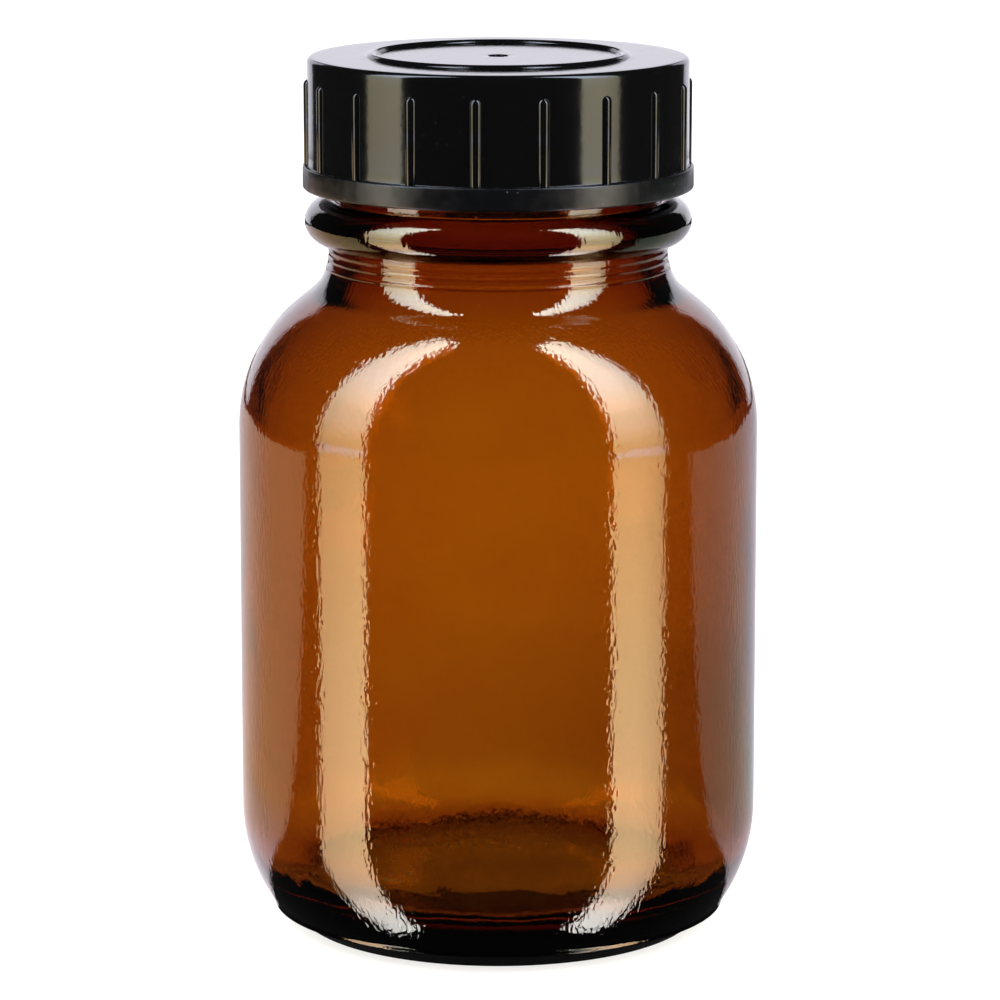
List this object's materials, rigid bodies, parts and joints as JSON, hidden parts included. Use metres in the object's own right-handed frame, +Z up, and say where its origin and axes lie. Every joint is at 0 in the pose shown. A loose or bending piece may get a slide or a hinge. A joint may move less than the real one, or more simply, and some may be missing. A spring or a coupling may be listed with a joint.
{
  "type": "reagent bottle",
  "caption": "Amber wide-neck glass reagent bottle with rounded shoulders, a beaded neck and a ribbed black screw cap over a foam liner.",
  "frame": {"origin": "centre of the bearing ring under the bottle, on the surface that it stands on", "axes": "+Z up along the axis of the bottle, neck and cap; +X to the right and +Y to the back of the stored view, where the moulding seams of the glass lie on X"},
  "size_m": [0.06, 0.06, 0.1018],
  "materials": {
    "amber_glass": "gloss, moulded soda-lime glass",
    "black_plastic": "gloss, injection moulded",
    "liner_foam": "matt closed-cell foam",
    "liner_film": "satin film"
  },
  "bodies": {
    "bottle": {"glass_bottle": "amber_glass"},
    "liner": {"liner_foam": "liner_foam", "liner_facing": "liner_film"},
    "cap": {"screw_cap": "black_plastic"}
  },
  "joints": [
    {"name": "cap_rise", "type": "slide", "parent": "bottle", "child": "liner", "axis": [0, 0, 1], "range_m": [0, 0.016]},
    {"name": "cap_turn", "type": "hinge", "parent": "liner", "child": "cap", "pos_m": [0, 0, 0.0984], "axis": [0, 0, 1], "range_deg": [0, 1440]}
  ],
  "couplings": [
    {"joint": "cap_rise", "follows": "cap_turn", "m_per_rad": 0.00063662}
  ]
}
